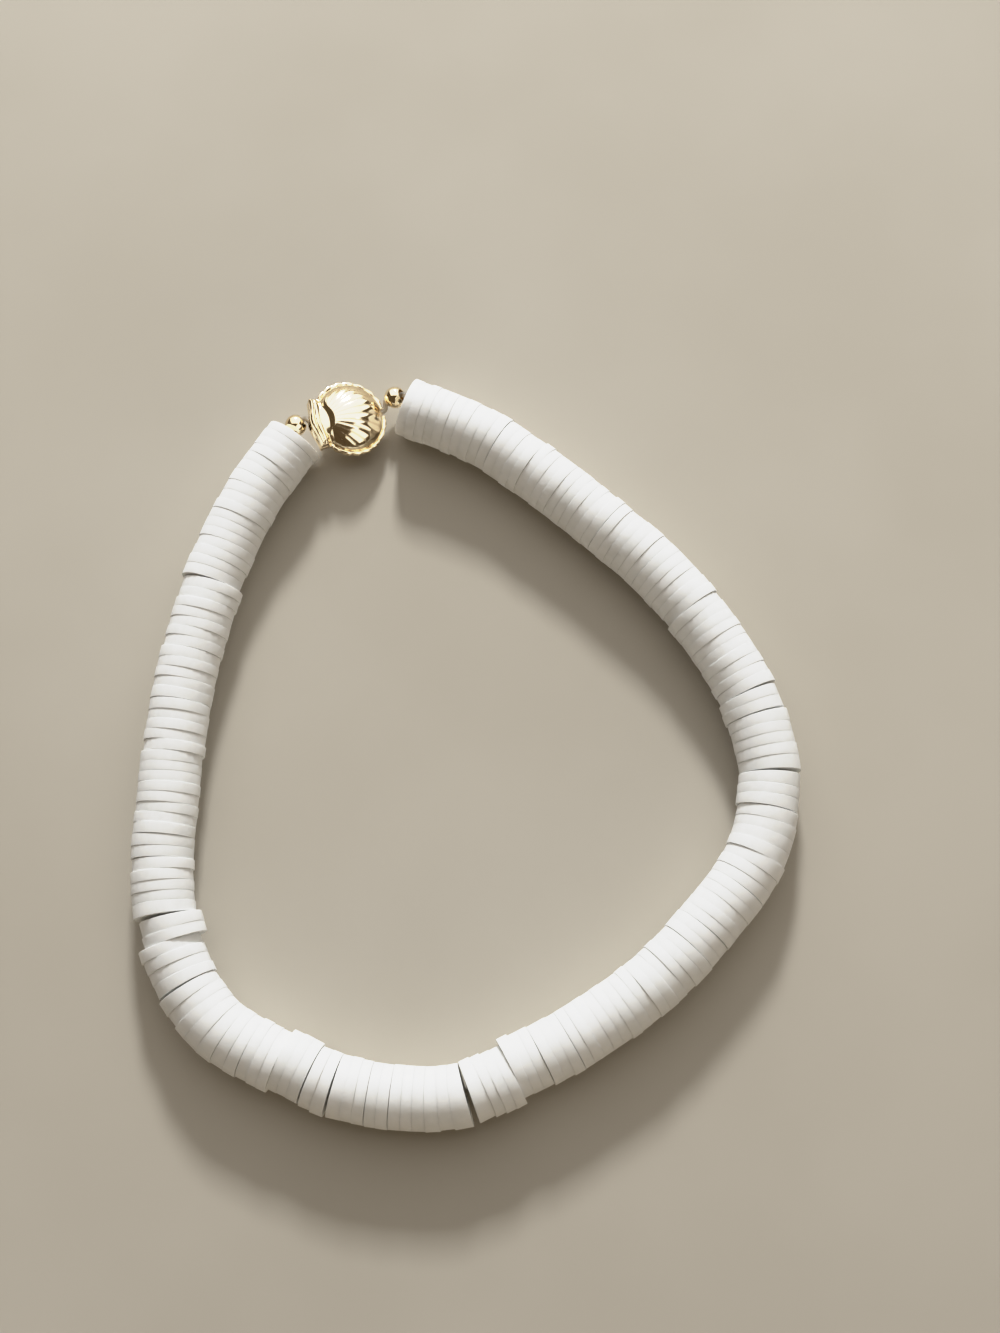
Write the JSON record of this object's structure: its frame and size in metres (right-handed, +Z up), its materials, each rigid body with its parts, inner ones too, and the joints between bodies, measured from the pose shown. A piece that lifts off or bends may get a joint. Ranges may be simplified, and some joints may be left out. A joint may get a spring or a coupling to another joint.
{
  "type": "heishi bead bracelet",
  "caption": "Stretch bracelet of flat clay heishi discs threaded face to face on an elastic cord, with a gold scallop shell bead between two small ball beads, lying flat as a loop",
  "frame": {"origin": "middle of the bracelet's box in plan, on the surface that it lies on", "axes": "+Z up, out of the plane of the loop; +Y the loop's long way, towards the shell bead; the hinge of the shell points to -X"},
  "size_m": [0.0648, 0.0748, 0.0061],
  "materials": {
    "clay": "matt cool white polymer clay, the cut edges a little smoother than the faces",
    "gold": "polished pale gold plating",
    "elastic": "clear milky elastic"
  },
  "bodies": {
    "root": {"heishi_stretch_01": "clay", "heishi_stretch_02": "clay", "heishi_stretch_03": "clay", "heishi_stretch_04": "clay", "heishi_stretch_05": "clay", "heishi_stretch_06": "clay", "heishi_stretch_07": "clay", "heishi_stretch_08": "clay", "heishi_stretch_09": "clay", "heishi_stretch_10": "clay", "heishi_stretch_11": "clay", "heishi_stretch_12": "clay", "heishi_stretch_13": "clay", "heishi_stretch_14": "clay", "heishi_stretch_15": "clay", "heishi_stretch_16": "clay", "heishi_stretch_17": "clay", "heishi_stretch_18": "clay", "heishi_stretch_19": "clay", "heishi_stretch_20": "clay", "heishi_stretch_21": "clay", "heishi_stretch_22": "clay", "heishi_stretch_23": "clay", "heishi_stretch_24": "clay", "heishi_stretch_25": "clay", "heishi_stretch_26": "clay", "heishi_stretch_27": "clay", "heishi_stretch_28": "clay", "heishi_stretch_29": "clay", "heishi_stretch_30": "clay", "heishi_stretch_31": "clay", "heishi_stretch_32": "clay", "heishi_stretch_33": "clay", "heishi_stretch_34": "clay", "heishi_stretch_35": "clay", "shell_bead": "gold", "ball_bead_left": "gold", "ball_bead_right": "gold", "elastic_cord": "elastic"}
  },
  "joints": []
}
